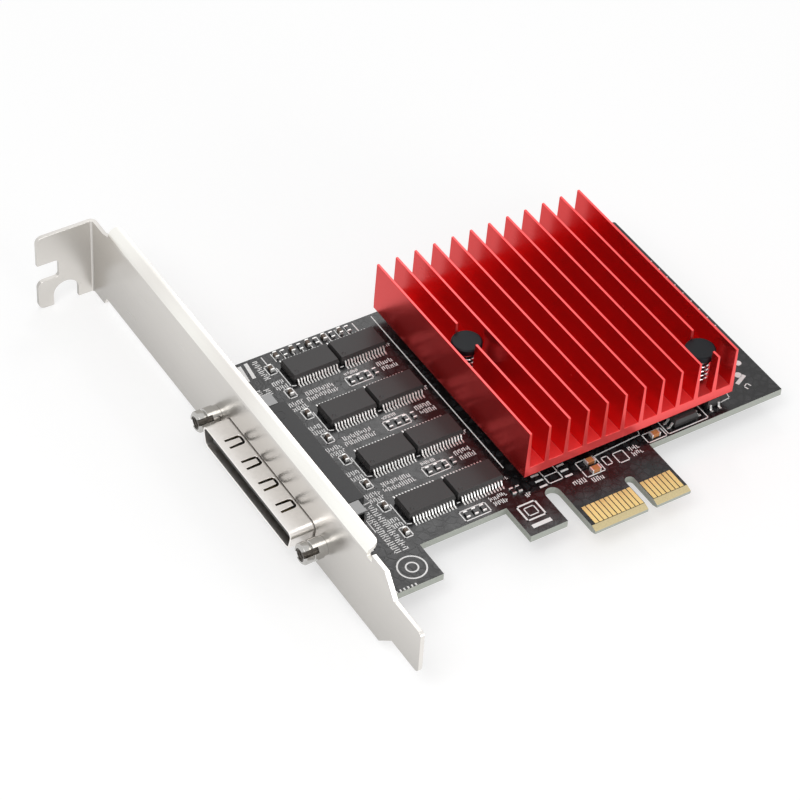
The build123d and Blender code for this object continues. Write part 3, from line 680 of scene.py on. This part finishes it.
def coil(name, centre, radius, wire, length, turns, finish_name, steps=14):
    """Round wire wound upward from a centre, as a smooth curve."""
    curve = bpy.data.curves.new(name, "CURVE")
    curve.dimensions = "3D"
    curve.bevel_depth = wire
    curve.bevel_resolution = 3
    curve.resolution_u = 3
    curve.use_fill_caps = True
    line = curve.splines.new("NURBS")
    count = turns * steps + 1
    line.points.add(count - 1)
    for n in range(count):
        angle = 2 * math.pi * n / steps
        rise = length * n / (count - 1)
        local = Vector((radius * math.cos(angle), radius * math.sin(angle), rise))
        line.points[n].co = (*(Vector(centre) + local), 1)
    line.order_u = 3
    line.use_endpoint_u = True
    return add_piece(name, curve, finish_name)


class CARD_OT_finish_bracket(bpy.types.Operator):
    """Coats the bracket in plated steel and rounds its edges"""

    bl_idname = "card.finish_bracket"
    bl_label = "Finish bracket"

    def execute(self, context):
        coat_node("bracket", "bracket_steel", "bracket_fold", "bracket_face")
        for face in NODES["bracket"].data.polygons:
            # Upward faces of the fold take the paler copy of the steel, a painted highlight
            if face.normal.z > 0.3 and face.center.z > FOLD_START_Z * MM:
                face.material_index = 1
            # Faces toward -X take the darker copy of the steel, painted shade that lightens
            # upward
            elif face.normal.x < -0.5:
                face.material_index = 2
        ease_edges("bracket", context.scene.card_sizes.sheet_edge)
        return {"FINISHED"}


class CARD_OT_finish_board(bpy.types.Operator):
    """Coats the board's faces, its cut edges, its bevel and its contacts"""

    bl_idname = "card.finish_board"
    bl_label = "Finish board"

    def execute(self, context):
        coat_node("circuit_board", "solder_mask", "glass_edge", "bevel_edge")
        for face in NODES["circuit_board"].data.polygons:
            facing_up = abs(face.normal.z)
            if facing_up < 0.1:
                face.material_index = 1
            elif facing_up < 0.99:
                face.material_index = 2
        ease_edges("circuit_board", BOARD_ROUND * MM)
        for side in ("component", "solder"):
            node = f"edge_contacts_{side}_side"
            coat_node(node, "gold_plating")
            shade(node, False)
        return {"FINISHED"}


def lines_by_chips(width):
    """Corner lines at the left ends of the chips, and frames round the parts beside them."""
    plans = []
    for y in CHIP_ROWS:
        for column, x0, y0, x1, y1 in CHIP_LINES:
            left = CHIP_COLUMNS[column] - CHIP_SIZE[0] / 2
            plans.append(stroke(left + x0, y + y0, left + x1, y + y1, width))
    half_w, half_h = CAPACITOR_FRAME_HALF
    for y, (right, group_rise) in zip(CHIP_ROWS, GROUP_FRAMES):
        for x, rise in CAPACITOR_FRAMES:
            middle = y + rise
            plans += outline(x - half_w, middle - half_h, x + half_w, middle + half_h, width)
        low = y + group_rise - GROUP_FRAME_HALF_H
        high = y + group_rise + GROUP_FRAME_HALF_H
        plans += outline(GROUP_FRAME_LEFT, low, right, high, width)
    return plans


def ticks_by_chips():
    """Ticks in the places of the small print round the chips."""
    plans = []
    for row, y in enumerate(CHIP_ROWS):
        for x, rise, count, height, seed, rows in TICKS_BY_CHIPS:
            if row in rows:
                plans += ticks(x, y + rise, count, height, seed + row)
    return plans


def print_at_edges(width):
    """Ticks, lines and frames along the board's edges and round the heat sink."""
    plans = []
    for (x0, y0, x1, y1), (dx, dy), count, widths in LINE_RUNS:
        for n in range(count):
            ends = (x0 + n * dx, y0 + n * dy, x1 + n * dx, y1 + n * dy)
            plans.append(stroke(*ends, widths * width))
    plans += [stroke(*ends, width) for ends in EDGE_LINES]
    for corners in EDGE_FRAMES:
        plans += outline(*corners, width)
    for row in EDGE_TICKS:
        plans += ticks(*row)
    left, low, high, bar_width, pitch, count = TAB_BARS
    for n in range(count):
        x = left + n * pitch
        plans.append(rectangle(x, low, x + bar_width, high))
    return plans


def plain_marks(width):
    """Rings and frames on the front tabs, bars by the bracket, and dots past the heat sink."""
    plans = [rectangle(*MARK_PLATE)]
    for mark in MARK_RINGS:
        plans += ring(*mark)
    for *corners, widths in MARK_FRAMES:
        plans += outline(*corners, widths * width)
    plans += [stroke(*bar) for bar in MARK_BARS]
    plans += [disc(*mark, DISC_STEPS) for mark in MARK_DISCS]
    plans += [stroke(*ends, width) for ends in MARK_LINES]
    return plans


class CARD_OT_print_board(bpy.types.Operator):
    """Prints the frames, lines, ticks and plain marks on the board"""

    bl_idname = "card.print_board"
    bl_label = "Print board"

    def execute(self, context):
        sizes = context.scene.card_sizes
        width = sizes.ink_width / MM
        height = sizes.ink_height / MM
        groups = {
            "printed_chip_lines": lines_by_chips(width),
            "printed_ticks_by_chips": ticks_by_chips(),
            "printed_edge_lines": print_at_edges(width),
            "printed_plain_marks": plain_marks(width),
        }
        for name, plans in groups.items():
            plates(name, plans, 0, height, "printed_ink")
        return {"FINISHED"}


def free_for_via(x, y):
    """Whether a place by the bracket is clear of the connector's housing and the chips."""
    if x < HOUSING_X and HOUSING_Y[0] < y < HOUSING_Y[1]:
        return False
    by_chips = CHIP_CLEAR_X[0] < x < CHIP_CLEAR_X[1]
    return not (by_chips and any(abs(y - row) < CHIP_CLEAR_Y for row in CHIP_ROWS))


def strew_vias():
    """Places of the via holes, clear of the key notch."""
    draw = random.Random(VIA_SEED)
    places = list(FRONT_TAB_VIAS)
    while len(places) < VIAS_BY_BRACKET:
        place = (draw.uniform(*CHIP_SIDE_X), draw.uniform(*CHIP_SIDE_Y))
        if free_for_via(*place):
            places.append(place)
    for count, across, along in MORE_VIAS:
        for _ in range(count):
            places.append((draw.uniform(*across), draw.uniform(*along)))
    return [(x, y) for x, y in places if abs(x) > KEY_NOTCH_CLEAR]


class CARD_OT_add_vias(bpy.types.Operator):
    """Adds the small holes that join the board's layers"""

    bl_idname = "card.add_vias"
    bl_label = "Add vias"

    def execute(self, context):
        front = strew_vias()
        back = [(x, y) for x, y in front if x >= HOUSING_X or y <= HOUSING_Y[0]]
        sides = {"component": (front, 0), "solder": (back, -BOARD_T - VIA_T)}
        for side, (places, low) in sides.items():
            holes = [disc(x, y, VIA_R, VIA_STEPS) for x, y in places]
            plates(
                f"via_holes_{side}_side", holes, low, low + VIA_T, "via_shadow")
        return {"FINISHED"}


def thread_in(name, side):
    """Thread that lines a jack post's bore, turned from a ridged profile."""
    wall = BORE_R - LINING_GAP
    profile = [(LINING_START, wall)]
    for turn in range(THREAD_TURNS):
        at = LINING_START + turn * THREAD_PITCH
        profile += [(at, THREAD_CREST_R), (at + THREAD_PITCH / 2, THREAD_ROOT_R)]
    profile.append((LINING_START + THREAD_TURNS * THREAD_PITCH, wall))
    shape = bmesh.new()
    rings = []
    for along, radius in profile:
        circle = disc(CONNECTOR_Y + side * POST_OFFSET_Y, CONNECTOR_Z, radius, LINING_STEPS)
        x = (POST_END_X + along) * MM
        rings.append([shape.verts.new((x, y * MM, z * MM)) for y, z in circle])
    for a, b in zip(rings, rings[1:] + rings[:1]):
        join_loops(shape, a, b)
    # Dark steel on the thread: painted shade of the bore
    add_shape(name, shape, "thread_steel")


def darken_bore(node, side):
    """Painted shade: a darker finish on the faces inside a jack post's bore."""
    middle = Vector((CONNECTOR_Y + side * POST_OFFSET_Y, CONNECTOR_Z)) * MM
    for face in NODES[node].data.polygons:
        away = (Vector((face.center.y, face.center.z)) - middle).length
        if away < (BORE_R + BORE_FIT) * MM and face.center.x < BORE_END_X * MM:
            face.material_index = 1


class CARD_OT_finish_connector(bpy.types.Operator):
    """Finishes the connector, its contacts and its jack posts"""

    bl_idname = "card.finish_connector"
    bl_label = "Finish connector"

    def execute(self, context):
        coat_node("connector_shell", "nickel_shell", "board_lock")
        for face in NODES["connector_shell"].data.polygons:
            if face.center.x > FLANGE_BACK_X * MM:
                face.material_index = 1
        ease_edges("connector_shell", SHELL_ROUND * MM)
        coat_node("connector_housing", "black_moulding")
        ease_edges("connector_housing", HOUSING_ROUND * MM)
        coat_node("connector_contacts", "contact_gold")
        shade("connector_contacts", False)
        coat_node("connector_solder_joints", "solder")
        ease_edges("connector_solder_joints", JOINT_ROUND * MM, limit=20)
        for name, side in POST_SIDES.items():
            node = f"jack_post_{name}"
            coat_node(node, "nickel_turned", "bore_shadow")
            darken_bore(node, side)
            ease_edges(node, POST_ROUND * MM)
            thread_in(f"jack_thread_{name}", side)
        plates(
            "moulding_gate_ring", ring(*GATE_RING), HOUSING_TOP_Z, HOUSING_TOP_Z + GATE_RING_T,
            "black_moulding")
        return {"FINISHED"}


class CARD_OT_finish_heatsink(bpy.types.Operator):
    """Anodises the heat sink and finishes what lies under it"""

    bl_idname = "card.finish_heatsink"
    bl_label = "Finish heat sink"

    def execute(self, context):
        coat_node("heatsink", "red_anodised", "red_cut")
        for face in NODES["heatsink"].data.polygons:
            # Faces that don't face along X take the paler copy of the anodising, a painted
            # highlight
            if abs(face.normal.x) < 0.5:
                face.material_index = 1
        ease_edges("heatsink", context.scene.card_sizes.fin_edge)
        coat_node("thermal_pad", "thermal_compound")
        coat_node("controller_chip", "chip_moulding")
        for node in ("thermal_pad", "controller_chip"):
            ease_edges(node, PACKAGE_ROUND * MM)
        return {"FINISHED"}


class CARD_OT_add_push_pins(bpy.types.Operator):
    """Finishes the push pins and winds their springs from round wire"""

    bl_idname = "card.add_push_pins"
    bl_label = "Add push pins"

    def execute(self, context):
        sizes = context.scene.card_sizes
        wire = sizes.spring_wire
        low = SPRING_LOW * MM + wire
        high = SPRING_HIGH * MM - wire
        for name, (x, y) in PIN_PLACES.items():
            node = f"push_pin_{name}"
            coat_node(node, "black_nylon")
            ease_edges(node, PIN_ROUND * MM)
            spring = coil(
                f"wound_spring_{name}", (x * MM, y * MM, low), sizes.spring_radius, wire,
                high - low, sizes.spring_turns, "spring_steel")
            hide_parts("push_pin_spring_" + name)
        return {"FINISHED"}


def moulded_body(name, node, centre, size):
    """Chip body with drafted sides and a round dimple by its first lead."""
    left, low = (middle - length / 2 for middle, length in zip(centre, size))
    right, high = left + size[0], low + size[1]
    shape = bmesh.new()
    loops = [
        loop_at(shape, rectangle(left + inset, low + inset, right - inset, high - inset), z)
        for inset, z in zip(CHIP_INSETS, CHIP_HEIGHTS)]
    shape.faces.new(list(reversed(loops[0])))
    for a, b in zip(loops, loops[1:]):
        join_loops(shape, a, b)
    spot = (left + DIMPLE_FROM_CORNER[0], low + DIMPLE_FROM_CORNER[1])
    top = CHIP_HEIGHTS[-1]
    rim = loop_at(shape, disc(*spot, DIMPLE_R, DIMPLE_STEPS), top)
    dip = loop_at(shape, disc(*spot, DIMPLE_FLOOR_R, DIMPLE_STEPS), top - DIMPLE_DEPTH)
    edges = []
    for loop in (loops[-1], rim):
        for pair in zip(loop, loop[1:] + loop[:1]):
            edges.append(shape.edges.get(pair) or shape.edges.new(pair))
    bmesh.ops.triangle_fill(shape, edges=edges, use_beauty=True)
    join_loops(shape, rim, dip)
    shape.faces.new(dip)
    piece = add_shape(name, shape, "chip_moulding")
    bevel = piece.modifiers.new("ease_edges", "BEVEL")
    bevel.width = CHIP_ROUND * MM
    bevel.segments = 2
    bevel.angle_limit = math.radians(30)
    bevel.use_clamp_overlap = True
    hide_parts(node)


def lead_lands():
    """Solder lands under the transceivers' leads."""
    plans = []
    first = -LEAD_PITCH * (LEAD_COUNT - 1) / 2
    for y in CHIP_ROWS:
        for x in CHIP_COLUMNS:
            for n in range(LEAD_COUNT):
                at = x + first + n * LEAD_PITCH
                for side in (-1, 1):
                    near = y + side * (LEAD_TOE - LAND_INSIDE_TOE)
                    far = y + side * (LEAD_TOE + LAND_PAST_TOE)
                    low, high = sorted((near, far))
                    plans.append(rectangle(at - LAND_W / 2, low, at + LAND_W / 2, high))
    return plans


class CARD_OT_finish_chips(bpy.types.Operator):
    """Moulds the chips, tins their leads and lays their lands"""

    bl_idname = "card.finish_chips"
    bl_label = "Finish chips"

    def execute(self, context):
        places = [(x, y) for y in CHIP_ROWS for x in CHIP_COLUMNS]
        for number, place in enumerate(places, 1):
            node = f"transceiver_{number}"
            moulded_body(f"moulded_{node}", node, place, CHIP_SIZE)
            leads = f"transceiver_leads_{number}"
            coat_node(leads, "tinned_leads")
            ease_edges(leads, LEAD_ROUND * MM, segments=1)
        moulded_body("moulded_memory_chip", "memory_chip", MEMORY_PLACE, MEMORY_SIZE)
        coat_node("regulator", "chip_moulding")
        ease_edges("regulator", REGULATOR_ROUND * MM)
        for node in ("memory_chip_leads", "regulator_leads"):
            coat_node(node, "tinned_leads")
            ease_edges(node, SMALL_LEAD_ROUND * MM)
        plates("transceiver_lands", lead_lands(), 0, LAND_T, "tinned_land")
        return {"FINISHED"}


class CARD_OT_finish_small_parts(bpy.types.Operator):
    """Finishes the chip capacitors and resistors"""

    bl_idname = "card.finish_small_parts"
    bl_label = "Finish small parts"

    def execute(self, context):
        finishes = {
            "chip_capacitors": "ceramic_body",
            "chip_capacitor_ends": "tinned_leads",
            "chip_resistors": "resistor_body",
            "chip_resistor_ends": "tinned_leads",
            "supply_capacitors": "tan_ceramic",
            "supply_capacitor_ends": "tinned_leads",
        }
        for node, name in finishes.items():
            coat_node(node, name)
            ease_edges(node, SMALL_PART_ROUND * MM)
        return {"FINISHED"}


def bright_rays(tree):
    """Value of 1 for rays that look straight at the stage, or by way of gloss or glass."""
    path = tree.nodes.new("ShaderNodeLightPath")
    first = tree.nodes.new("ShaderNodeMath")
    first.operation = "MAXIMUM"
    second = tree.nodes.new("ShaderNodeMath")
    second.operation = "MAXIMUM"
    tree.links.new(path.outputs["Is Camera Ray"], first.inputs[0])
    tree.links.new(path.outputs["Is Glossy Ray"], first.inputs[1])
    tree.links.new(first.outputs["Value"], second.inputs[0])
    tree.links.new(path.outputs["Is Transmission Ray"], second.inputs[1])
    return second.outputs["Value"]


def light_room(level):
    """White room that lights the card at a plain level."""
    world = bpy.data.worlds.new("white_room")
    world.use_nodes = True
    tree = world.node_tree
    tree.nodes.clear()
    seen = tree.nodes.new("ShaderNodeBackground")
    lit = tree.nodes.new("ShaderNodeBackground")
    lit.inputs["Strength"].default_value = level
    mix = tree.nodes.new("ShaderNodeMixShader")
    out = tree.nodes.new("ShaderNodeOutputWorld")
    for node in (seen, lit):
        node.inputs["Color"].default_value = (1, 1, 1, 1)
    tree.links.new(bright_rays(tree), mix.inputs["Fac"])
    tree.links.new(lit.outputs["Background"], mix.inputs[1])
    tree.links.new(seen.outputs["Background"], mix.inputs[2])
    tree.links.new(mix.outputs["Shader"], out.inputs["Surface"])
    bpy.context.scene.world = world


def floor_finish(colour):
    """Pale floor that looks white and still takes the card's shadow."""
    material = bpy.data.materials.new("pale_floor")
    material.use_nodes = True
    tree = material.node_tree
    tree.nodes.clear()
    plain = tree.nodes.new("ShaderNodeBsdfDiffuse")
    plain.inputs["Color"].default_value = (*colour, 1)
    soft = tree.nodes.new("ShaderNodeBsdfDiffuse")
    soft.inputs["Color"].default_value = (FLOOR_SHADE, FLOOR_SHADE, FLOOR_SHADE, 1)
    glow = tree.nodes.new("ShaderNodeEmission")
    glow.inputs["Strength"].default_value = FLOOR_GLOW
    seen = tree.nodes.new("ShaderNodeAddShader")
    mix = tree.nodes.new("ShaderNodeMixShader")
    out = tree.nodes.new("ShaderNodeOutputMaterial")
    tree.links.new(soft.outputs["BSDF"], seen.inputs[0])
    tree.links.new(glow.outputs["Emission"], seen.inputs[1])
    tree.links.new(bright_rays(tree), mix.inputs["Fac"])
    tree.links.new(plain.outputs["BSDF"], mix.inputs[1])
    tree.links.new(seen.outputs["Shader"], mix.inputs[2])
    tree.links.new(mix.outputs["Shader"], out.inputs["Surface"])
    return material


def softbox(name, place, target, size, power):
    """Flat rectangular light that faces a point."""
    lamp = bpy.data.lights.new(name, "AREA")
    lamp.shape = "RECTANGLE"
    lamp.size, lamp.size_y = size
    lamp.energy = power
    light = bpy.data.objects.new(name, lamp)
    bpy.context.scene.collection.objects.link(light)
    light.location = place
    aim = Vector(target) - Vector(place)
    light.rotation_euler = aim.to_track_quat("-Z", "Y").to_euler()


class CARD_OT_set_stage(bpy.types.Operator):
    """Sets the pale floor, the soft lights and the camera"""

    bl_idname = "card.set_stage"
    bl_label = "Set stage"

    def execute(self, context):
        scene = context.scene
        stage = scene.card_stage
        half = stage.floor_size / 2
        level = CAD_BOX[0][2] - FLOOR_GAP
        mesh = bpy.data.meshes.new("floor")
        corners = rectangle(-half, -half, half, half)
        mesh.from_pydata([(x, y, level) for x, y in corners], [], [(0, 1, 2, 3)])
        mesh.materials.append(floor_finish(tuple(scene.card_colours.floor)))
        floor = bpy.data.objects.new("floor", mesh)
        scene.collection.objects.link(floor)
        light_room(stage.room_level)
        for name, (place, target, size, power) in SOFTBOXES.items():
            softbox(name, place, target, size, getattr(stage, power))
        self.place_camera(scene, stage.lens)
        scene.view_settings.view_transform = "Standard"
        return {"FINISHED"}

    def place_camera(self, scene, lens):
        data = bpy.data.cameras.new("camera")
        data.lens = lens
        data.sensor_width = CAMERA_SENSOR
        data.shift_x, data.shift_y = CAMERA_SHIFT
        data.clip_start = 0.01
        camera = bpy.data.objects.new("camera", data)
        scene.collection.objects.link(camera)
        forward = Vector(CAMERA_FORWARD).normalized()
        right = forward.cross(Vector(CAMERA_UP)).normalized()
        up = right.cross(forward)
        turn = Matrix((right, up, -forward)).transposed().to_4x4()
        camera.matrix_world = Matrix.Translation(CAMERA_PLACE) @ turn
        scene.camera = camera


class CARD_PT_tools(bpy.types.Panel):
    """Sizes, colours and steps of the serial port card"""

    bl_idname = "CARD_PT_tools"
    bl_label = "Serial port card"
    bl_space_type = "VIEW_3D"
    bl_region_type = "UI"
    bl_category = "Serial card"

    def draw(self, context):
        for group_name, _ in GROUPS:
            group = getattr(context.scene, group_name)
            box = self.layout.box()
            for name in group.bl_rna.properties.keys():
                if name not in ("rna_type", "name"):
                    box.prop(group, name)
        for step in STEPS:
            self.layout.operator(step.bl_idname)


GROUPS = (("card_colours", CardColours), ("card_sizes", CardSizes), ("card_stage", CardStage))
STEPS = (
    CARD_OT_finish_bracket,
    CARD_OT_finish_board,
    CARD_OT_print_board,
    CARD_OT_add_vias,
    CARD_OT_finish_connector,
    CARD_OT_finish_heatsink,
    CARD_OT_add_push_pins,
    CARD_OT_finish_chips,
    CARD_OT_finish_small_parts,
    CARD_OT_set_stage,
)


def register():
    for name, group in GROUPS:
        bpy.utils.register_class(group)
        setattr(bpy.types.Scene, name, PointerProperty(type=group))
    for step in (*STEPS, CARD_PT_tools):
        bpy.utils.register_class(step)


def unregister():
    for step in reversed((*STEPS, CARD_PT_tools)):
        bpy.utils.unregister_class(step)
    for name, group in reversed(GROUPS):
        delattr(bpy.types.Scene, name)
        bpy.utils.unregister_class(group)


def main():
    register()
    bpy.ops.card.finish_bracket()
    bpy.ops.card.finish_board()
    bpy.ops.card.print_board()
    bpy.ops.card.add_vias()
    bpy.ops.card.finish_connector()
    bpy.ops.card.finish_heatsink()
    bpy.ops.card.add_push_pins()
    bpy.ops.card.finish_chips()
    bpy.ops.card.finish_small_parts()
    bpy.ops.card.set_stage()


if __name__ == "__main__":
    main()
